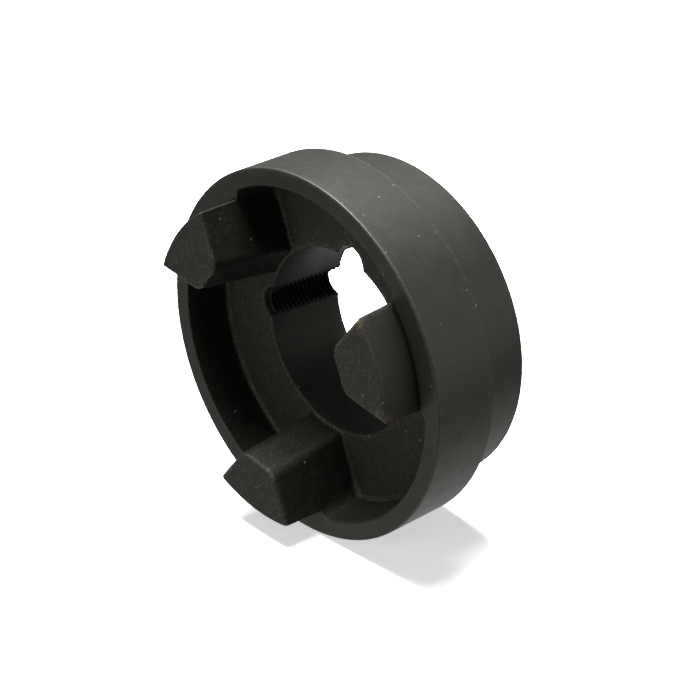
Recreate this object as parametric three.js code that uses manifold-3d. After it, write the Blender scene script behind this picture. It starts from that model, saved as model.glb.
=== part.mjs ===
// One half of a three-jaw flexible shaft coupling for a taper bush: a single machined iron casting.
// Millimetres, +Z up. The shaft axis is Y: the jaws point along -Y and the hub's end face looks along +Y.
// The casting stands on its rim, and the origin is on the shaft axis at half of the overall length.
import * as THREE from 'three';
import { mergeVertices } from 'three/addons/utils/BufferGeometryUtils.js';
import Module from 'manifold-3d';

// Rim and hub
const RIM_RADIUS = 56;
const RIM_WIDTH = 21.15;
const HUB_RADIUS = 50;
const HUB_LENGTH = 18.5;             // how far the hub stands out behind the rim
const RECESS_RADIUS_MOUTH = 50.6;    // the recess wall drafts inwards as it goes deeper
const RECESS_RADIUS_FLOOR = 48.9;
const RECESS_FILLET = 2;
const RIM_CHAMFER = 0.4;
const HUB_CHAMFER = 0.8;

// Taper bore, widest at the recess floor
const BORE_LENGTH = 25.4;
const BORE_RADIUS_MOUTH = 28.575;
const BORE_TAPER_DEG = 4;            // per side
const BORE_CHAMFER = 0.3;

// Jaws. Both flanks of a jaw run beside the radial lines half a pitch away, so that the flexible
// element between two jaws of opposite halves has legs of one width. Flanks and inner face have draft.
const JAW_COUNT = 3;
const FIRST_JAW_DEG = 21.6;          // measured from +X towards +Z
const JAW_STAND_OUT = 13;            // beyond the rim's front face
const JAW_OUTER_RADIUS = 48.5;
const JAW_INNER_RADIUS = 31.9;       // at the tip
const JAW_FLANK_OFFSET = 10.2;       // half of the width of an element leg at the tip
const JAW_FLANK_DRAFT_DEG = 2.8;
const JAW_INNER_DRAFT_DEG = 5.4;
const JAW_HALF_PITCH_DEG = 30;
const JAW_CORNER_TIP = 2.8;          // corner radius of the section, which gets sharper towards the root
const JAW_CORNER_ROOT = 1;
const JAW_ROOT_OVERLAP = 1;          // how far a jaw's root runs into the rim wall and the floor

// Half-holes for the bush screws, drilled along the shaft axis in the bore's wall
const THREADED_HOLE_RADIUS = 4.3;    // between the root and crest of a 3/8 inch thread
const THREADED_HOLE_CENTRE = 26.4;
const THREADED_HOLE_DEGS = [174.6, 354.6];
const JACKING_HOLE_RADIUS = 5.4;
const JACKING_HOLE_CENTRE = 27.3;
const JACKING_HOLE_DEG = 78.3;
const JACKING_HOLE_DEPTH = 17;
const DRILL_POINT_DEG = 59;          // half of the drill's point angle

// Facets
const TURNED_SEGMENTS = 96;
const DRILL_SEGMENTS = 28;
const FILLET_SEGMENTS = 4;
const ARC_SEGMENTS = 6;
const CUT_MARGIN = 2;                // how far a cutter passes the face it starts from

// Stations along the shaft axis
const HUB_END = (JAW_STAND_OUT + RIM_WIDTH + HUB_LENGTH) / 2;
const JAW_TIP = -HUB_END;
const RING_FACE = JAW_TIP + JAW_STAND_OUT;
const RIM_BACK = RING_FACE + RIM_WIDTH;
const RECESS_FLOOR = HUB_END - BORE_LENGTH;

const CAST_IRON = { color: 0x2e2d2a, roughness: 0.62, metalness: 0.55 };

const rad = THREE.MathUtils.degToRad;
const wasm = await Module();
wasm.setup();

function toSolid(geometry) {
  const bare = geometry.clone();
  bare.deleteAttribute('normal');
  bare.deleteAttribute('uv');
  const merged = mergeVertices(bare);
  return new wasm.Manifold(new wasm.Mesh({
    numProp: 3,
    vertProperties: new Float32Array(merged.attributes.position.array),
    triVerts: new Uint32Array(merged.index.array),
  }));
}

function toGeometry(solid) {
  const mesh = solid.getMesh();
  const geometry = new THREE.BufferGeometry();
  geometry.setAttribute('position', new THREE.BufferAttribute(mesh.vertProperties, 3));
  geometry.setIndex(new THREE.BufferAttribute(mesh.triVerts, 1));
  geometry.computeVertexNormals();
  return geometry;
}

// Turned solid about the shaft axis from [radius, station] points. Half a step of turn puts
// a facet, not an edge, at the top, bottom and both sides.
function turned(points, segments) {
  const profile = points.map(([radius, station]) => new THREE.Vector2(radius, station));
  return new THREE.LatheGeometry(profile, segments, Math.PI / segments, 2 * Math.PI);
}

// The fillet between the recess wall and its floor, as points from the wall to the floor.
function recessFillet() {
  const centreRadius = RECESS_RADIUS_FLOOR - RECESS_FILLET;
  const centreStation = RECESS_FLOOR - RECESS_FILLET;
  return Array.from({ length: FILLET_SEGMENTS + 1 }, (_, i) => {
    const turn = (i / FILLET_SEGMENTS) * Math.PI / 2;
    return [centreRadius + RECESS_FILLET * Math.cos(turn), centreStation + RECESS_FILLET * Math.sin(turn)];
  });
}

// Rim, hub, recess and taper bore in one closed profile.
function castingBody() {
  const boreEnd = BORE_RADIUS_MOUTH - BORE_LENGTH * Math.tan(rad(BORE_TAPER_DEG));
  const profile = [
    [RIM_RADIUS - RIM_CHAMFER, RING_FACE],
    [RIM_RADIUS, RING_FACE + RIM_CHAMFER],
    [RIM_RADIUS, RIM_BACK - RIM_CHAMFER],
    [RIM_RADIUS - RIM_CHAMFER, RIM_BACK],
    [HUB_RADIUS, RIM_BACK],
    [HUB_RADIUS, HUB_END - HUB_CHAMFER],
    [HUB_RADIUS - HUB_CHAMFER, HUB_END],
    [boreEnd, HUB_END],
    [BORE_RADIUS_MOUTH, RECESS_FLOOR + BORE_CHAMFER],
    [BORE_RADIUS_MOUTH + BORE_CHAMFER, RECESS_FLOOR],
    ...recessFillet().reverse(),
    [RECESS_RADIUS_MOUTH, RING_FACE],
    [RIM_RADIUS - RIM_CHAMFER, RING_FACE],
  ];
  return turned(profile, TURNED_SEGMENTS);
}

// Angle from the jaw's centre line at which a flank, moved by an offset, meets a radius.
function flankAngle(radius, offset) {
  return rad(JAW_HALF_PITCH_DEG) - Math.asin(offset / radius);
}

// Jaw section at a station, x along its centre line, with its four corners rounded.
function jawOutline(outerRadius, station) {
  const depth = station - JAW_TIP;
  const sharpening = (JAW_CORNER_TIP - JAW_CORNER_ROOT) / (RECESS_FLOOR + JAW_ROOT_OVERLAP - JAW_TIP);
  const cornerRadius = JAW_CORNER_TIP - depth * sharpening;
  const offset = JAW_FLANK_OFFSET - depth * Math.tan(rad(JAW_FLANK_DRAFT_DEG)) + cornerRadius;
  const innerRadius = JAW_INNER_RADIUS - depth * Math.tan(rad(JAW_INNER_DRAFT_DEG));
  const outerCentre = outerRadius - cornerRadius;
  const innerCentre = innerRadius + cornerRadius;
  const outerTurn = flankAngle(outerCentre, offset);
  const innerTurn = flankAngle(innerCentre, offset);
  const flankNormal = rad(JAW_HALF_PITCH_DEG + 90);
  const corner = (side, centre, turn, from, to) =>
    [centre * Math.cos(turn), side * centre * Math.sin(turn), cornerRadius, from, to, false];
  const arcs = [
    [0, 0, outerRadius, -outerTurn, outerTurn, false],
    corner(1, outerCentre, outerTurn, outerTurn, flankNormal),
    corner(1, innerCentre, innerTurn, flankNormal, Math.PI + innerTurn),
    [0, 0, innerRadius, innerTurn, -innerTurn, true],
    corner(-1, innerCentre, innerTurn, Math.PI - innerTurn, 2 * Math.PI - flankNormal),
    corner(-1, outerCentre, outerTurn, 2 * Math.PI - flankNormal, 2 * Math.PI - outerTurn),
  ];
  const [first, ...others] = arcs.map((arc) => new THREE.Path().absarc(...arc).getPoints(ARC_SEGMENTS));
  return [...first, ...others.flatMap((points) => points.slice(1))].slice(0, -1);
}

// Drafted length of a jaw between two stations, turned to its place round the shaft axis.
function jawLength(outerRadius, from, to, degrees) {
  const [start, end] = [from, to].map((station) => jawOutline(outerRadius, station));
  const place = (outline, station) => outline.flatMap((point) => [point.x, station, point.y]);
  const count = start.length;
  const caps = THREE.ShapeUtils.triangulateShape(start, []);
  const index = caps.flatMap(([a, b, c]) => [a, c, b, count + a, count + b, count + c].map(Number));
  for (let i = 0; i < count; i += 1) {
    const next = (i + 1) % count;
    index.push(i, next, count + next, i, count + next, count + i);
  }
  const geometry = new THREE.BufferGeometry();
  const spots = [...place(start, from), ...place(end, to)];
  geometry.setAttribute('position', new THREE.Float32BufferAttribute(spots, 3));
  geometry.setIndex(index);
  geometry.rotateY(-rad(degrees));
  return toSolid(geometry);
}

// A jaw: its root joins the rim wall up to the ring face, and its nose stands clear of it.
function jaw(degrees) {
  const rootStart = RECESS_FLOOR + JAW_ROOT_OVERLAP;
  const root = jawLength(RECESS_RADIUS_MOUTH + JAW_ROOT_OVERLAP, rootStart, RING_FACE, degrees);
  const nose = jawLength(JAW_OUTER_RADIUS, rootStart, JAW_TIP, degrees);
  return root.add(nose);
}

// Drill cut along the shaft axis from just in front of the recess floor. The point is a cone.
function drill(radius, centre, degrees, depth) {
  const start = RECESS_FLOOR - CUT_MARGIN;
  const shoulder = RECESS_FLOOR + depth;
  const point = shoulder + radius / Math.tan(rad(DRILL_POINT_DEG));
  const geometry = turned([[0, start], [radius, start], [radius, shoulder], [0, point]], DRILL_SEGMENTS);
  geometry.translate(centre * Math.cos(rad(degrees)), 0, centre * Math.sin(rad(degrees)));
  return toSolid(geometry);
}

function couplingHalf() {
  let solid = toSolid(castingBody());
  for (let i = 0; i < JAW_COUNT; i += 1) {
    solid = solid.add(jaw(FIRST_JAW_DEG + (i * 360) / JAW_COUNT));
  }
  const throughDepth = BORE_LENGTH + CUT_MARGIN;
  for (const degrees of THREADED_HOLE_DEGS) {
    solid = solid.subtract(drill(THREADED_HOLE_RADIUS, THREADED_HOLE_CENTRE, degrees, throughDepth));
  }
  const jackingHole = drill(JACKING_HOLE_RADIUS, JACKING_HOLE_CENTRE, JACKING_HOLE_DEG, JACKING_HOLE_DEPTH);
  return solid.subtract(jackingHole);
}

const casting = new THREE.Mesh(toGeometry(couplingHalf()), new THREE.MeshStandardMaterial(CAST_IRON));
casting.name = 'half_coupling_casting';

const coupling = new THREE.Group();
coupling.name = 'jaw_coupling_half';
coupling.add(casting);

export default coupling;
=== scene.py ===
"""Looks of one half of a three-jaw flexible shaft coupling: a cast iron body, turned, bored and drilled,
then phosphated and oiled. Metres. +Y runs along the shaft axis from the jaws to the hub's end face."""
import math

import bpy
import numpy as np
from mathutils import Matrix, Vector, noise


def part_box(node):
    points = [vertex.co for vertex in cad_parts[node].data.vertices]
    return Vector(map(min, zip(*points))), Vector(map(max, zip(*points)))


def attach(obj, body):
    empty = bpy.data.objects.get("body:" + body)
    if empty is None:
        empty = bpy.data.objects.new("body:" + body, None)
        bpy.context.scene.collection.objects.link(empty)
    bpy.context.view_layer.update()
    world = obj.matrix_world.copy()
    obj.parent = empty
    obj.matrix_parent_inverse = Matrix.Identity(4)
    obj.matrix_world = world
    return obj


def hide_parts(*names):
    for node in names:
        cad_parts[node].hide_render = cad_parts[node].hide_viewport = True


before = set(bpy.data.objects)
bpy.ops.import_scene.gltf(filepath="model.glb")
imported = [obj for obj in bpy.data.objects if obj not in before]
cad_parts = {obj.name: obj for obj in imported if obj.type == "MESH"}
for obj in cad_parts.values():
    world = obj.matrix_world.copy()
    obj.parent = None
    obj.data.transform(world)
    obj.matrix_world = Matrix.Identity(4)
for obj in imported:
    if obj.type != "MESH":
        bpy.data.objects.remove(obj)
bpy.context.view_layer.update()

NODE = "half_coupling_casting"
MM = 0.001

# Sizes taken from the frame
LOW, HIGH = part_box(NODE)
RIM_RADIUS = HIGH.x
JAW_TIP = LOW.y
HUB_END = HIGH.y
GROUND = LOW.z

# Rim, hub and recess
RING_FACE = JAW_TIP + 13 * MM
RIM_BACK = RING_FACE + 21.15 * MM
HUB_RADIUS = 50 * MM
RECESS_FLOOR = HUB_END - 25.4 * MM
RECESS_MOUTH_RADIUS = 50.6 * MM
RECESS_FLOOR_RADIUS = 48.9 * MM
RECESS_FILLET = 1.3 * MM
RIM_EDGE = 0.45 * MM                  # small turned edges are rounded by wear
HUB_EDGE = 0.8 * MM
STEP_FILLET = 0.5 * MM
HUB_OVERLAP = 5 * MM                  # how far the hub's solid runs into the rim's
BLANK_MARGIN = 3 * MM                 # metal in front of the ring face before it is turned

# Taper bore
BORE_MOUTH_RADIUS = 28.575 * MM
BORE_TAPER = math.radians(4)
BORE_EDGE = 0.35 * MM

# Jaws
FIRST_JAW = math.radians(21.6)
JAW_ANGLES = [FIRST_JAW + i * math.tau / 3 for i in range(3)]
JAW_OUTER_RADIUS = 48.5 * MM
JAW_INNER_RADIUS = 31.9 * MM          # at the tip
JAW_FLANK_OFFSET = 10.2 * MM          # at the tip
JAW_HALF_PITCH = math.radians(30)
JAW_FLANK_DRAFT = math.tan(math.radians(2.8))
JAW_INNER_DRAFT = math.tan(math.radians(5.4))
JAW_CORNER_TIP = 3.2 * MM
JAW_CORNER_ROOT = 1.0 * MM
JAW_TIP_EDGE = 1.4 * MM
JAW_NOSE_EDGE = 0.5 * MM              # worn edges of the turned outer face
NOSE_EDGE_BAND = (0.5 * MM, 4 * MM)   # in front of the ring face, where that wear sets in
JAW_FLOOR_FILLET = 0.9 * MM
JAW_WALL_FILLET = 3.0 * MM
WALL_FILLET_BAND = (6 * MM, 1 * MM)   # inside the recess wall, where the floor's fillet grows to the wall's
JAW_WALL_OVERLAP = 1 * MM
JAW_FLOOR_OVERLAP = 2 * MM

# Half-holes in the bore's wall
THREAD_ANGLES = {"thread_left": math.radians(174.6), "thread_right": math.radians(354.6)}
THREAD_CENTRE = 26.4 * MM
THREAD_ROOT = 4.76 * MM
THREAD_PITCH = 25.4 / 16 * MM
THREAD_DEPTH = 0.64 * THREAD_PITCH
THREAD_SEAT = 5.1 * MM                # hole in the body that the threaded sleeve lines
THREAD_BACKING = 0.4 * MM             # how far the sleeve's back lies inside the body
THREAD_SKIN = 0.02 * MM               # how far the sleeve stays below the bore and the end faces
THREAD_FLANKS = (0.06, 0.94)          # shares of a half pitch at which a flank starts and ends
THREAD_MOUTH_CHAMFER = 0.1 * MM
THREAD_END_CHAMFER = 0.4 * MM
THREAD_CREASE = math.radians(50)
THREAD_HOLLOW = 0.9                   # painted shade all over the thread
JACKING_ANGLE = math.radians(78.3)
JACKING_CENTRE = 27.3 * MM
JACKING_RADIUS = 5.4 * MM
JACKING_DEPTH = 17 * MM
JACKING_EDGE = 0.25 * MM
THROUGH = 1.0                         # a depth beyond the casting's far end
DRILL_POINT = math.radians(59)

# Mesh steps
TURN_STEPS = 720
FINE_STEP = 0.16 * MM
COARSE_STEP = 0.62 * MM
PLAIN_STEP = 1.8 * MM
STEP_GROWTH = 0.3
GRID_MARGIN = 0.5 * MM
BORE_GRID_MARGIN = 1 * MM
PROJECTION_ROUNDS = 4
SLOPE_REACH = 0.02 * MM
THREAD_ROWS = 230
THREAD_COLUMNS = 49
THREAD_ROUNDS = 6

# Where the skin is as cast: metal cut away, and how far past the rim wall and the floor
SKIN_CUT = (0.05 * MM, 0.25 * MM)
PAST_WALL = 0.3 * MM
PAST_FLOOR = (0.1 * MM, 0.5 * MM)

# Sand-cast skin, in millimetres: size of the feature, height, place in the noise
WAVES = (7.0, 0.10, Vector((0, 0, 0)))
LUMPS = (2.3, 0.060, Vector((9, 0, 0)))
GRAINS = (1.05, 0.065, Vector((0, 5, 0)))
SKIN_SUNK = 0.12
RELIEF_BAND = (0.1 * MM, 0.9 * MM)    # under a turned face, where the relief sets in
CHAFE_BAND = (1 * MM, 3 * MM)         # under a turned face, where wear of cast edges sets in
EDGE_REACH = 2.2 * MM
HOLLOW_REACH = 1.6 * MM

# Finishes of the body, as places in its list of materials
# The shaded finish paints shade: a darker, less shiny copy of the iron for cast side walls and turned corners
SATIN, DULL, SHADED_FINISH = 0, 1, 2
CAST_FROM = 0.05
UPRIGHT_BELOW = 0.5
SIDEWAYS_FROM = 0.3
SHADED_CORNER_FROM = 0.7
NOSE_FACE_BAND = 0.3 * MM

# The first jaw's two outer corners at the tip, where the finish has rusted
RUST_RADIUS = 47.0 * MM
RUST_REACH = 4.5 * MM
RUST_TURNS = (FIRST_JAW + math.radians(-17), FIRST_JAW + math.radians(17))
RUSTY_CORNERS = [(RUST_RADIUS * math.cos(turn), JAW_TIP, RUST_RADIUS * math.sin(turn)) for turn in RUST_TURNS]


# ---------------------------------------------------------------- signed distances

def smooth(low, high, value):
    t = np.clip((value - low) / (high - low), 0, 1)
    return t * t * (3 - 2 * t)


def round_max(a, b, radius):
    """Common part of two solids, with the edge between them rounded."""
    corner = np.hypot(np.maximum(a + radius, 0), np.maximum(b + radius, 0))
    return np.minimum(-radius, np.maximum(a, b)) + corner


def round_min(a, b, radius):
    """Both solids together, with a fillet between them."""
    return -round_max(-a, -b, radius)


def jaw_distance(x, y, z, radius, angle):
    """As cast: drafted flanks and inner face, running out into the rim wall and the floor."""
    along = x * math.cos(angle) + z * math.sin(angle)
    across = np.abs(z * math.cos(angle) - x * math.sin(angle))
    depth = y - JAW_TIP
    flank = across * math.cos(JAW_HALF_PITCH) - along * math.sin(JAW_HALF_PITCH)
    flank = flank + JAW_FLANK_OFFSET - JAW_FLANK_DRAFT * depth
    inner = JAW_INNER_RADIUS - JAW_INNER_DRAFT * depth - radius
    corner = JAW_CORNER_TIP + (JAW_CORNER_ROOT - JAW_CORNER_TIP) * depth / (RECESS_FLOOR - JAW_TIP)
    section = round_max(flank, inner, np.maximum(corner, JAW_CORNER_ROOT))
    section = np.maximum(section, radius - RECESS_MOUTH_RADIUS - JAW_WALL_OVERLAP)
    ends = np.maximum(JAW_TIP - y, y - RECESS_FLOOR - JAW_FLOOR_OVERLAP)
    return round_max(section, ends, JAW_TIP_EDGE)


def cast_distance(x, y, z, radius):
    """The casting before its front is turned and its holes are cut."""
    rim_front = RING_FACE - BLANK_MARGIN
    rim = round_max(radius - RIM_RADIUS, np.maximum(rim_front - y, y - RIM_BACK), RIM_EDGE)
    hub = round_max(radius - HUB_RADIUS, np.maximum(RIM_BACK - HUB_OVERLAP - y, y - HUB_END), HUB_EDGE)
    slope = (RECESS_MOUTH_RADIUS - RECESS_FLOOR_RADIUS) / (RECESS_FLOOR - RING_FACE)
    wall = radius - RECESS_MOUTH_RADIUS + slope * (y - RING_FACE)
    hollow = round_max(wall, y - RECESS_FLOOR, RECESS_FILLET)
    solid = np.maximum(round_min(rim, hub, STEP_FILLET), -hollow)
    near_wall = smooth(*[RECESS_FLOOR_RADIUS - inwards for inwards in WALL_FILLET_BAND], radius)
    fillet = JAW_FLOOR_FILLET + (JAW_WALL_FILLET - JAW_FLOOR_FILLET) * near_wall
    for angle in JAW_ANGLES:
        solid = round_min(solid, jaw_distance(x, y, z, radius, angle), fillet)
    return solid


def drill_distance(x, y, z, centre, angle, radius, depth):
    """A hole along the shaft axis from the recess floor, ending in the drill's cone."""
    away = np.hypot(x - centre * math.cos(angle), z - centre * math.sin(angle))
    side = away - radius
    point = (y - RECESS_FLOOR - depth) * math.sin(DRILL_POINT) + side * math.cos(DRILL_POINT)
    return np.maximum(side, point)


def coupling_distance(points):
    """Signed distance to the finished casting, less than zero inside the iron."""
    x, y, z = points
    radius = np.hypot(x, z)
    solid = cast_distance(x, y, z, radius)
    edge = RIM_EDGE + (JAW_NOSE_EDGE - RIM_EDGE) * smooth(*NOSE_EDGE_BAND, RING_FACE - y)
    solid = round_max(solid, np.minimum(RING_FACE - y, radius - JAW_OUTER_RADIUS), edge)
    bore = BORE_MOUTH_RADIUS - (y - RECESS_FLOOR) * math.tan(BORE_TAPER)
    solid = round_max(solid, (bore - radius) * math.cos(BORE_TAPER), BORE_EDGE)
    for angle in THREAD_ANGLES.values():
        hole = drill_distance(x, y, z, THREAD_CENTRE, angle, THREAD_SEAT, THROUGH)
        solid = np.maximum(solid, -hole)
    jacking = drill_distance(x, y, z, JACKING_CENTRE, JACKING_ANGLE, JACKING_RADIUS, JACKING_DEPTH)
    return round_max(solid, -jacking, JACKING_EDGE)


def slope_at(points):
    """Unit normals from the distance's slope."""
    parts = []
    for axis in range(3):
        step = np.zeros((3, 1))
        step[axis] = SLOPE_REACH
        parts.append(coupling_distance(points + step) - coupling_distance(points - step))
    slope = np.array(parts)
    return slope / np.maximum(np.linalg.norm(slope, axis=0), 1e-12)


# ---------------------------------------------------------------- the body's mesh

def graded(start, end, features, coarse):
    """Grid lines from start to end, close together near each feature."""
    lines = [start]
    while lines[-1] < end:
        gap = min(abs(lines[-1] - f) for f in features)
        lines.append(lines[-1] + min(coarse(lines[-1]), FINE_STEP + STEP_GROWTH * gap))
    return np.array(lines)


def cylinder_grid():
    """Radii, turns and stations of the grid, close together at the casting's edges."""
    bore_end = BORE_MOUTH_RADIUS - (HUB_END - RECESS_FLOOR) * math.tan(BORE_TAPER)
    radii = graded(bore_end - BORE_GRID_MARGIN, RIM_RADIUS + GRID_MARGIN,
                   [BORE_MOUTH_RADIUS, JAW_OUTER_RADIUS, HUB_RADIUS, RECESS_MOUTH_RADIUS, RIM_RADIUS],
                   lambda r: COARSE_STEP)
    stations = graded(JAW_TIP - GRID_MARGIN, HUB_END + GRID_MARGIN,
                      [JAW_TIP, RING_FACE, RECESS_FLOOR, RIM_BACK, HUB_END],
                      lambda y: COARSE_STEP if y < RECESS_FLOOR else PLAIN_STEP)
    turns = np.arange(TURN_STEPS) * math.tau / TURN_STEPS
    return radii, turns, stations


def crossings(value, axis):
    """Grid edges along one axis that cross the surface, how far along, and which start inside."""
    here, there = (value[:-1], value[1:]) if axis == 0 else (value, np.roll(value, -1, 1))
    if axis == 2:
        here, there = value[:, :, :-1], value[:, :, 1:]
    index = np.array(np.nonzero((here < 0) != (there < 0)))
    a, b = here[tuple(index)], there[tuple(index)]
    return index, a / (a - b), a < 0


def cells_round(index, axis, shape):
    """The four grid cells round each crossed edge, in turn."""
    first, second = [a for a in range(3) if a != axis]
    around = []
    for first_back, second_back in ((1, 1), (0, 1), (0, 0), (1, 0)):
        cell = index.copy()
        cell[first] -= first_back
        cell[second] -= second_back
        cell[1] %= shape[1]
        around.append(np.ravel_multi_index(cell, shape))
    return np.array(around).T


def crossed_edges(value, shape):
    """For each grid edge that crosses the surface: its cells, which way round they go, and the spot."""
    cells_of, flips_of, spots_of = [], [], []
    for axis in range(3):
        index, share, inside = crossings(value, axis)
        inner = np.all([(index[a] > 0) & (index[a] < shape[a]) for a in (0, 2) if a != axis], axis=0)
        index, share, inside = index[:, inner], share[inner], inside[inner]
        place = index.astype(float)
        place[axis] += share
        cells_of.append(cells_round(index, axis, shape))
        flips_of.append(inside if axis != 1 else ~inside)
        spots_of.append(place)
    return np.concatenate(cells_of), np.concatenate(flips_of), np.concatenate(spots_of, axis=1)


def cell_middles(spots, base, corner, turn_count):
    """Mean of the spots round each cell, in grid steps."""
    cell_count = base.shape[1]
    total = np.zeros((3, cell_count))
    for k in range(4):
        offset = spots - base[:, corner[:, k]]
        offset[1] = (offset[1] + 1) % turn_count - 1
        for axis in range(3):
            total[axis] += np.bincount(corner[:, k], offset[axis], cell_count)
    return base + total / np.bincount(corner.ravel(), minlength=cell_count)


def surface_net(value, radii, turns, stations):
    """One vertex in each grid cell that the surface crosses, and a quad round each crossed edge."""
    shape = (len(radii) - 1, len(turns), len(stations) - 1)
    quads, flips, spots = crossed_edges(value, shape)
    cells, corner = np.unique(quads, return_inverse=True)
    corner = corner.reshape(quads.shape)
    base = np.array(np.unravel_index(cells, shape), float)
    place = cell_middles(spots, base, corner, len(turns))
    r = np.interp(place[0], np.arange(len(radii)), radii)
    y = np.interp(place[2], np.arange(len(stations)), stations)
    turn = place[1] * (turns[1] - turns[0])
    points = np.array([r * np.cos(turn), y, r * np.sin(turn)])
    corner[flips] = corner[flips][:, ::-1]
    return points, corner


def body_mesh():
    """Surface net of the casting, with every vertex then moved onto the exact surface."""
    radii, turns, stations = cylinder_grid()
    r, t, y = np.meshgrid(radii, turns, stations, indexing="ij")
    value = coupling_distance(np.array([r * np.cos(t), y, r * np.sin(t)]))
    points, quads = surface_net(value, radii, turns, stations)
    for _ in range(PROJECTION_ROUNDS):
        points = points - coupling_distance(points) * slope_at(points)
    return points, quads


# ---------------------------------------------------------------- surface condition

def cast_share(points):
    """1 where the surface is as cast, 0 where it was turned, bored or drilled."""
    x, y, z = points
    radius = np.hypot(x, z)
    depth = -cast_distance(x, y, z, radius)
    skin = 1 - smooth(*SKIN_CUT, depth)
    inside_rim = 1 - smooth(RECESS_MOUTH_RADIUS, RECESS_MOUTH_RADIUS + PAST_WALL, radius)
    in_front = 1 - smooth(*[RECESS_FLOOR + past for past in PAST_FLOOR], y)
    return skin * inside_rim * in_front


def turned_depth(points):
    """How far a point lies under the turned faces of the front."""
    x, y, z = points
    return -np.minimum(RING_FACE - y, np.hypot(x, z) - JAW_OUTER_RADIUS)


def exposure(points, normals):
    """How far edges stick out and hollows close in, from distances some way under and over the skin."""
    edge = 1 + coupling_distance(points - normals * EDGE_REACH) / EDGE_REACH
    hollow = 1 - coupling_distance(points + normals * HOLLOW_REACH) / HOLLOW_REACH
    return np.clip(edge, 0, 1), np.clip(hollow, 0, 1)


def sand_relief(points, amounts):
    """Height of the sand-cast skin: broad waviness, lumps and grain. It lies inside the nominal skin."""
    heights = np.zeros(points.shape[1])
    for i in np.nonzero(amounts > 0.01)[0]:
        p = Vector(points[:, i]) / MM
        rise = sum(noise.noise(p / size + place) * height for size, height, place in (WAVES, LUMPS, GRAINS))
        heights[i] = (rise - SKIN_SUNK) * MM
    return heights * amounts


def new_mesh(name, points, quads):
    mesh = bpy.data.meshes.new(name)
    mesh.from_pydata(points.T.tolist(), [], quads.tolist())
    mesh.validate()
    mesh.update()
    piece = bpy.data.objects.new(name, mesh)
    bpy.context.scene.collection.objects.link(piece)
    return piece


def shade(mesh, normals):
    mesh.shade_smooth()
    mesh.normals_split_custom_set_from_vertices(normals.T.tolist())


def mark(mesh, name, values):
    layer = mesh.attributes.new(name, "FLOAT", "POINT")
    layer.data.foreach_set("value", values.astype(np.float32))


def make_body():
    points, quads = body_mesh()
    normals = slope_at(points)
    cast = cast_share(points)
    edge, hollow = exposure(points, normals)
    depth = turned_depth(points)
    edge *= 1 - cast * (1 - smooth(*CHAFE_BAND, depth))
    relief_share = cast * smooth(*RELIEF_BAND, depth)
    rough = points + normals * sand_relief(points, relief_share)
    rough[1] = np.maximum(rough[1], JAW_TIP)
    body = new_mesh("casting_body", rough, quads)
    share_out_finishes(body.data, points, quads)
    relief = np.empty(points.shape[1] * 3)
    body.data.vertex_normals.foreach_get("vector", relief)
    relief = relief.reshape(-1, 3).T
    mixed = normals + (relief - normals) * relief_share
    shade(body.data, mixed / np.linalg.norm(mixed, axis=0))
    mark(body.data, "cast", cast)
    mark(body.data, "edge", edge)
    # The hollow mark drives painted shade in turned corners and on the threads
    mark(body.data, "hollow", hollow)
    return body


def share_out_finishes(mesh, points, quads):
    """Dull in the bore, and on the jaws' outer faces as painted shade; a darker, less shiny copy of the iron
    on cast side walls and in turned corners, as painted shade.
    """
    centres = points[:, quads].mean(axis=2)
    normals = slope_at(centres)
    x, y, z = centres
    radius = np.hypot(x, z)
    in_bore = (radius < BORE_MOUTH_RADIUS) & (y > RECESS_FLOOR + BORE_EDGE) & (y < HUB_END - BORE_EDGE)
    cast = cast_share(centres) > CAST_FROM
    sideways = np.abs(normals[0] * z - normals[2] * x) / radius
    nose_edge = (y < RING_FACE) & (sideways > SIDEWAYS_FROM)
    upright = np.abs(normals[1]) < UPRIGHT_BELOW
    # Painted shade: cast side walls and the rounded nose edges get the shaded finish
    side_wall = (cast | nose_edge) & upright
    # Painted shade: the jaws' turned outer faces get the dull finish
    nose_face = upright & (y < RING_FACE) & (radius > JAW_OUTER_RADIUS - NOSE_FACE_BAND)
    hollow = exposure(centres, normals)[1]
    # Painted shade: turned corners in the recess get the shaded finish
    shaded_corner = ~cast & (hollow > SHADED_CORNER_FROM) & (y < RECESS_FLOOR)
    finish = np.where(side_wall | shaded_corner, SHADED_FINISH, np.where(in_bore | nose_face, DULL, SATIN))
    mesh.polygons.foreach_set("material_index", finish.astype(np.int32))


# ---------------------------------------------------------------- threads

def thread_radius(turn, y):
    """Rounded 55 degree thread, opened out by a chamfer at both ends."""
    phase = np.mod(y / THREAD_PITCH - turn / math.tau, 1)
    crest = smooth(*THREAD_FLANKS, 1 - np.abs(2 * phase - 1))
    cut = THREAD_ROOT - THREAD_DEPTH * crest
    front = THREAD_SEAT - THREAD_MOUTH_CHAMFER - (y - RECESS_FLOOR)
    back = THREAD_SEAT - THREAD_END_CHAMFER - (HUB_END - y)
    return np.maximum(cut, np.maximum(front, back))


def thread_reach(radius, y):
    """Half the turn that a circle about the hole's centre spends outside the taper bore."""
    bore = BORE_MOUTH_RADIUS + THREAD_SKIN - (y - RECESS_FLOOR) * math.tan(BORE_TAPER)
    cosine = (bore ** 2 - THREAD_CENTRE ** 2 - radius ** 2) / (2 * THREAD_CENTRE * radius)
    return np.arccos(np.clip(cosine, -1, 1))


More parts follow.
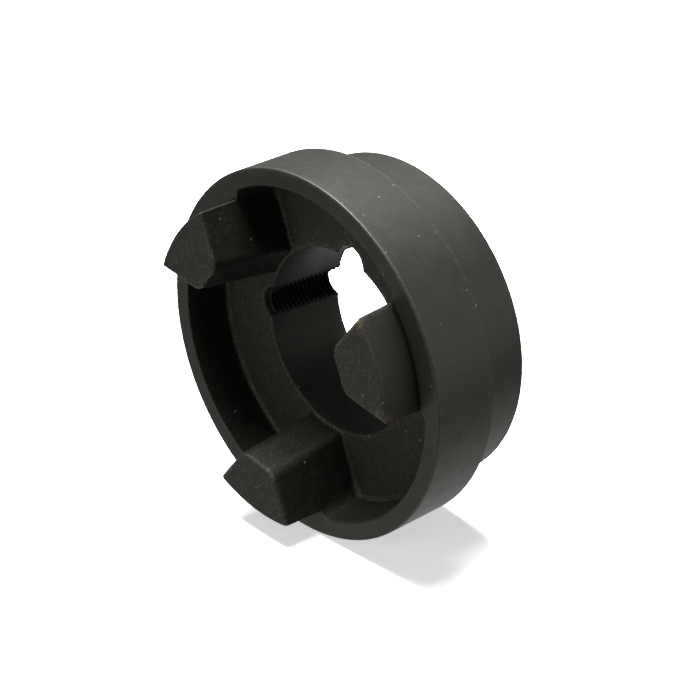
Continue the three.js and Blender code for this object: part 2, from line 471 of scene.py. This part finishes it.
def thread_rings(angle):
    """Rows of points round the sleeve's section: its threaded side, then back along its outside."""
    y = np.linspace(RECESS_FLOOR + THREAD_SKIN, HUB_END - THREAD_SKIN, THREAD_ROWS)[:, None]
    share = np.linspace(-1, 1, THREAD_COLUMNS)[None, :]
    turn = share * thread_reach(THREAD_ROOT, y)
    for _ in range(THREAD_ROUNDS):
        turn = share * thread_reach(thread_radius(turn, y), y)
    outside = THREAD_SEAT + THREAD_BACKING
    threaded = (thread_radius(turn, y), turn)
    backing = (np.full_like(turn, outside), share * thread_reach(outside, y))
    grids = []
    for radius, spin in (threaded, backing):
        x = THREAD_CENTRE + radius * np.cos(spin)
        z = radius * np.sin(spin)
        grids.append(np.array([x * math.cos(angle) - z * math.sin(angle), y + 0 * x,
                               x * math.sin(angle) + z * math.cos(angle)]))
    return np.concatenate([grids[0], grids[1][:, :, ::-1]], axis=2)


def sleeve_quads(rows, columns):
    """Walls between the rows of a sleeve, and a cap on each end."""
    number = np.arange(rows * columns).reshape(rows, columns)
    right, up = np.roll(number, -1, 1), np.roll(number, -1, 0)
    walls = np.stack([number, up, np.roll(up, -1, 1), right], -1)[:-1].reshape(-1, 4)
    half = columns // 2
    caps = np.array([[row[i + 1], row[columns - 2 - i], row[columns - 1 - i], row[i]]
                     for row in (number[0], number[-1]) for i in range(half - 1)])
    caps[half - 1:] = caps[half - 1:, ::-1]
    return np.concatenate([walls, caps])


def make_thread(name, angle):
    """A closed sleeve that lines the drilled half-hole, threaded on its open side."""
    rings = thread_rings(angle)
    rows, columns = rings.shape[1:]
    piece = new_mesh(name, rings.reshape(3, -1), sleeve_quads(rows, columns))
    piece.data.shade_smooth()
    piece.data.set_sharp_from_angle(angle=THREAD_CREASE)
    for key in ("cast", "edge", "hollow"):
        mark(piece.data, key, np.full(rows * columns, THREAD_HOLLOW if key == "hollow" else 0.0))
    return piece


# ---------------------------------------------------------------- material

class Nodes:
    """Short calls for building a shader."""

    def __init__(self, name):
        self.material = bpy.data.materials.new(name)
        self.material.use_nodes = True
        self.tree = self.material.node_tree
        self.shader = self.tree.nodes["Principled BSDF"]

    def add(self, kind, **settings):
        node = self.tree.nodes.new("ShaderNode" + kind)
        for key, value in settings.items():
            setattr(node, key, value)
        return node

    def link(self, source, target):
        self.tree.links.new(source, target)

    def fill(self, socket, value):
        if isinstance(value, bpy.types.NodeSocket):
            self.link(value, socket)
        else:
            socket.default_value = value

    def math(self, operation, a, b=0.0):
        node = self.add("Math", operation=operation)
        self.fill(node.inputs[0], a)
        self.fill(node.inputs[1], b)
        return node.outputs[0]

    def ramp(self, value, low, high, to_low=0.0, to_high=1.0):
        node = self.add("MapRange", interpolation_type="SMOOTHSTEP")
        for socket, v in zip(node.inputs, (value, low, high, to_low, to_high)):
            self.fill(socket, v)
        return node.outputs[0]

    def mix(self, share, a, b):
        """Blend of two colours."""
        node = self.add("Mix", data_type="RGBA")
        self.fill(node.inputs[0], share)
        self.fill(node.inputs[6], a)
        self.fill(node.inputs[7], b)
        return node.outputs[2]

    def blend(self, share, a, b):
        """Blend of two numbers."""
        node = self.add("Mix", data_type="FLOAT")
        self.fill(node.inputs[0], share)
        self.fill(node.inputs[2], a)
        self.fill(node.inputs[3], b)
        return node.outputs[0]

    def noise(self, place, scale, detail, roughness=0.5):
        node = self.add("TexNoise")
        self.link(place, node.inputs["Vector"])
        for key, value in (("Scale", scale), ("Detail", detail), ("Roughness", roughness)):
            node.inputs[key].default_value = value
        return node.outputs["Fac"]

    def cells(self, place, scale):
        node = self.add("TexVoronoi")
        self.link(place, node.inputs["Vector"])
        node.inputs["Scale"].default_value = scale
        return node.outputs["Distance"]

    def near(self, place, spot, reach):
        """1 at a spot, falling to 0 at a distance."""
        node = self.add("VectorMath", operation="DISTANCE")
        self.link(place, node.inputs[0])
        node.inputs[1].default_value = spot
        return self.ramp(node.outputs["Value"], reach, 0.2 * reach)

    def attribute(self, name):
        return self.add("Attribute", attribute_name=name).outputs["Fac"]

    def bump(self, height, strength, depth):
        node = self.add("Bump")
        node.inputs["Strength"].default_value = strength
        node.inputs["Distance"].default_value = depth
        self.link(height, node.inputs["Height"])
        return node.outputs["Normal"]


def grey(level, tint=(1.0, 1.0, 1.0)):
    return (level * tint[0], level * tint[1], level * tint[2], 1.0)


# Base colours: a grey level and a warm or greenish tint
TURNED_DARK = grey(0.011, (1.0, 1.01, 0.80))
TURNED_LIGHT = grey(0.016, (1.0, 1.0, 0.82))
TOOL_TRACK = grey(0.024)
SAND_DARK = grey(0.006, (1.0, 0.97, 0.72))
SAND_LIGHT = grey(0.010, (1.0, 0.97, 0.74))
SAND_GRAIN_TINT = (1.0, 0.97, 0.84)
# Painted shade for turned corners and the threads
PAINTED_SHADE = grey(0.002, (1.0, 0.97, 0.75))
CHAFED = grey(0.085, (1.0, 0.98, 0.93))
SPECK = grey(0.24, (1.0, 0.99, 0.95))
RUST = (0.095, 0.064, 0.038, 1)
SHEEN_TINT = (1.0, 1.0, 0.84, 1)

PER_MM = 1 / MM
TURN_TO_LENGTH = 0.6 * MM             # slow change of the tool tracks round the turn
BUMP_STRENGTH = 0.8
BUMP_DEPTH = 0.22 * MM


def turning_marks(n, place):
    """A coordinate that only changes across the tool's path, on faces and on cylinders alike."""
    split = n.add("SeparateXYZ")
    n.link(place, split.inputs[0])
    x, y, z = split.outputs
    radius = n.math("SQRT", n.math("ADD", n.math("MULTIPLY", x, x), n.math("MULTIPLY", z, z)))
    turn = n.math("ARCTAN2", z, x)
    join = n.add("CombineXYZ")
    n.link(radius, join.inputs[0])
    n.link(y, join.inputs[1])
    n.link(n.math("MULTIPLY", turn, TURN_TO_LENGTH), join.inputs[2])
    return join.outputs[0]


class Skin:
    """What all the iron finishes share: attributes of the mesh and noise patterns at several sizes."""

    def __init__(self, n):
        self.place = n.add("TexCoord").outputs["Object"]
        self.cast, self.edge, self.hollow = [n.attribute(key) for key in ("cast", "edge", "hollow")]
        self.cloud = n.noise(self.place, 0.055 * PER_MM, 4, 0.6)
        self.patch = n.noise(self.place, 0.30 * PER_MM, 4, 0.65)
        self.grain = n.noise(self.place, 1.15 * PER_MM, 3, 0.62)
        self.fine = n.noise(self.place, 2.6 * PER_MM, 2, 0.6)
        self.tracks = n.noise(turning_marks(n, self.place), 4.5 * PER_MM, 3, 0.6)


def phosphate_colour(n, skin, grain_level):
    """Turned faces with tool tracks, cast faces with lighter grains, and painted shade in turned corners and
    on the threads.
    """
    turned = n.mix(n.ramp(skin.cloud, 0.3, 0.7), TURNED_DARK, TURNED_LIGHT)
    turned = n.mix(n.ramp(skin.tracks, 0.35, 0.75, 0, 0.35), turned, TOOL_TRACK)
    sand = n.mix(n.ramp(skin.patch, 0.3, 0.7), SAND_DARK, SAND_LIGHT)
    sand = n.mix(n.ramp(skin.grain, 0.50, 0.68, 0, 0.75), sand, grey(grain_level, SAND_GRAIN_TINT))
    colour = n.mix(skin.cast, turned, sand)
    # Painted shade: turned corners and the threads darken as the hollow closes in
    painted_shade_share = n.math("MULTIPLY", n.ramp(skin.hollow, 0.15, 0.8), n.blend(skin.cast, 0.8, 0.0))
    return n.mix(painted_shade_share, colour, PAINTED_SHADE)


def worn_colour(n, skin, colour):
    """Chafed edges, nicks, specks of dust, and rust on two corners."""
    worn = n.blend(skin.cast, n.ramp(skin.edge, 0.40, 0.75, 0, 0.25), n.ramp(skin.edge, 0.10, 0.45, 0, 0.26))
    chafe = n.math("MULTIPLY", worn, n.ramp(skin.grain, 0.40, 0.62))
    colour = n.mix(chafe, colour, CHAFED)
    nick_spots = n.ramp(n.noise(skin.place, 0.75 * PER_MM, 3, 0.7), 0.67, 0.72)
    nicks = n.math("MULTIPLY", n.ramp(skin.edge, 0.06, 0.3), nick_spots)
    specks = n.ramp(n.cells(skin.place, 0.125 * PER_MM), 0.060, 0.030)
    dust = n.math("MULTIPLY", specks, n.ramp(skin.fine, 0.40, 0.62))
    colour = n.mix(n.math("MAXIMUM", nicks, dust), colour, SPECK)
    corners = n.math("MAXIMUM", *[n.near(skin.place, spot, RUST_REACH) for spot in RUSTY_CORNERS])
    rust_spots = n.ramp(n.noise(skin.place, 0.6 * PER_MM, 4, 0.7), 0.40, 0.58, 0, 0.75)
    return n.mix(n.math("MULTIPLY", corners, rust_spots), colour, RUST)


def skin_roughness(n, skin):
    """Satin turned faces with rougher scuffs, rough sand with smoother grains, and dull edges."""
    scuffs = n.ramp(n.noise(skin.place, 0.12 * PER_MM, 5, 0.75), 0.60, 0.72)
    turned = n.blend(n.ramp(skin.patch, 0.3, 0.7), 0.46, 0.51)
    turned = n.blend(scuffs, turned, 0.62)
    sand = n.blend(n.ramp(skin.grain, 0.3, 0.7), 0.74, 0.50)
    return n.blend(n.ramp(skin.edge, 0.55, 0.85), n.blend(skin.cast, turned, sand), 0.75)


def skin_height(n, skin):
    """Grain and pits of the sand, or tool tracks, with the same middle height."""
    pits = n.ramp(n.cells(skin.place, 0.55 * PER_MM), 0.10, 0.22)
    sand = n.math("ADD", n.math("SUBTRACT", skin.grain, 0.68), n.math("MULTIPLY", pits, 0.35))
    turned = n.math("ADD", n.math("MULTIPLY", skin.tracks, 0.16), n.math("MULTIPLY", skin.fine, 0.14))
    return n.blend(skin.cast, turned, sand)


def phosphated_iron(name, specular, grain_level):
    n = Nodes(name)
    skin = Skin(n)
    colour = worn_colour(n, skin, phosphate_colour(n, skin, grain_level))
    n.link(colour, n.shader.inputs["Base Color"])
    n.link(skin_roughness(n, skin), n.shader.inputs["Roughness"])
    n.link(n.bump(skin_height(n, skin), BUMP_STRENGTH, BUMP_DEPTH), n.shader.inputs["Normal"])
    n.shader.inputs["Metallic"].default_value = 0.0
    n.shader.inputs["Specular IOR Level"].default_value = specular
    n.shader.inputs["Specular Tint"].default_value = SHEEN_TINT
    return n.material


# ---------------------------------------------------------------- studio

FLOOR_REACH = 3.0
FLOOR_GREYS = (grey(0.86), grey(0.89))
FLOOR_GLOW = 0.52                     # lifts the lit floor to the photo's white
WHITE = grey(1.0)
LIGHT_COLOUR = (0.96, 0.97, 1.0)
WORLD_HEIGHTS = (-0.84, -0.32)        # the world is brighter below these directions
WORLD_LEVELS = (0.95, 0.15)

# Camera, in the photo's place
VIEW_AZIMUTH = 47.04
VIEW_ELEVATION = 27.80
VIEW_DISTANCE = 584.1 * MM
VIEW_SHIFT_RIGHT = 14.4 * MM
VIEW_SHIFT_UP = 2.2 * MM
LENS = 105.4
SENSOR_WIDTH = 36
NEAR_CLIP = 0.01


def floor_material():
    n = Nodes("studio_floor")
    place = n.add("TexCoord").outputs["Object"]
    colour = n.mix(n.noise(place, 3.0, 2), *FLOOR_GREYS)
    n.link(colour, n.shader.inputs["Base Color"])
    n.shader.inputs["Roughness"].default_value = 0.7
    n.shader.inputs["Emission Color"].default_value = WHITE
    n.shader.inputs["Emission Strength"].default_value = FLOOR_GLOW
    return n.material


def make_floor():
    """Pale floor that the camera sees, but that sends no light back to the casting."""
    mesh = bpy.data.meshes.new("studio_floor")
    corners = [(FLOOR_REACH * x, FLOOR_REACH * y, GROUND) for x, y in ((-1, -1), (1, -1), (1, 1), (-1, 1))]
    mesh.from_pydata(corners, [], [(0, 1, 2, 3)])
    floor = bpy.data.objects.new("studio_floor", mesh)
    bpy.context.scene.collection.objects.link(floor)
    mesh.materials.append(floor_material())
    floor.visible_diffuse = False
    floor.visible_glossy = False


def direction(azimuth, elevation):
    """Unit vector towards a viewer: azimuth 0 is the -Y side, growing towards +X."""
    a, e = math.radians(azimuth), math.radians(elevation)
    return Vector((math.sin(a) * math.cos(e), -math.cos(a) * math.cos(e), math.sin(e)))


def make_camera():
    """Level camera, with the ring face's centre left of and just below the middle of the frame."""
    camera = bpy.data.objects.new("camera", bpy.data.cameras.new("camera"))
    bpy.context.scene.collection.objects.link(camera)
    camera.data.lens = LENS
    camera.data.sensor_width = SENSOR_WIDTH
    back = direction(VIEW_AZIMUTH, VIEW_ELEVATION)
    camera.rotation_euler = (-back).to_track_quat("-Z", "Y").to_euler()
    right = direction(VIEW_AZIMUTH + 90, 0)
    up = back.cross(right)
    ring_centre = Vector((0, RING_FACE, 0))
    camera.location = ring_centre + back * VIEW_DISTANCE + right * VIEW_SHIFT_RIGHT + up * VIEW_SHIFT_UP
    camera.data.clip_start = NEAR_CLIP
    bpy.context.scene.camera = camera


def soft_box(name, azimuth, elevation, distance, size, power):
    light = bpy.data.objects.new(name, bpy.data.lights.new(name, "AREA"))
    bpy.context.scene.collection.objects.link(light)
    light.data.shape = "RECTANGLE"
    light.data.size, light.data.size_y = size
    light.data.energy = power
    light.data.color = LIGHT_COLOUR
    towards = direction(azimuth, elevation)
    light.location = towards * distance
    light.rotation_euler = (-towards).to_track_quat("-Z", "Y").to_euler()


def make_world():
    """Dim surroundings, brighter from below."""
    world = bpy.data.worlds.new("studio")
    world.use_nodes = True
    nodes, links = world.node_tree.nodes, world.node_tree.links
    facing = nodes.new("ShaderNodeTexCoord")
    split = nodes.new("ShaderNodeSeparateXYZ")
    level = nodes.new("ShaderNodeMapRange")
    level.interpolation_type = "SMOOTHSTEP"
    for socket, value in zip(level.inputs[1:5], WORLD_HEIGHTS + WORLD_LEVELS):
        socket.default_value = value
    links.new(facing.outputs["Generated"], split.inputs[0])
    links.new(split.outputs[2], level.inputs[0])
    links.new(level.outputs[0], nodes["Background"].inputs[1])
    nodes["Background"].inputs[0].default_value = WHITE
    bpy.context.scene.world = world


def make_light():
    make_world()
    soft_box("top_box", azimuth=266, elevation=79, distance=1.5, size=(0.7, 1.2), power=88)
    soft_box("front_fill", azimuth=-8, elevation=14, distance=1.6, size=(0.8, 0.8), power=7.6)
    soft_box("rear_fill", azimuth=122, elevation=9, distance=1.6, size=(1.2, 1.2), power=4.6)


# ---------------------------------------------------------------- assembly

make_camera()
body = make_body()
threads = [make_thread(name, angle) for name, angle in THREAD_ANGLES.items()]
# Painted shade: the threads get a copy of the iron with little specular
shaded_thread_iron = phosphated_iron("shaded_thread_iron", specular=0.12, grain_level=0.02)
body.data.materials.append(phosphated_iron("cast_iron", specular=0.5, grain_level=0.032))
# Dull in the bore; on the jaws' outer faces the dull copy is painted shade
body.data.materials.append(phosphated_iron("dull_iron", specular=0.25, grain_level=0.02))
# Painted shade: a darker copy with less specular for side walls and corners
body.data.materials.append(phosphated_iron("shaded_iron", specular=0.16, grain_level=0.020))
for piece in threads:
    piece.data.materials.append(shaded_thread_iron)
for piece in [body] + threads:
    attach(piece, "root")
    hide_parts(NODE)
make_floor()
make_light()
bpy.context.scene.view_settings.view_transform = "Standard"
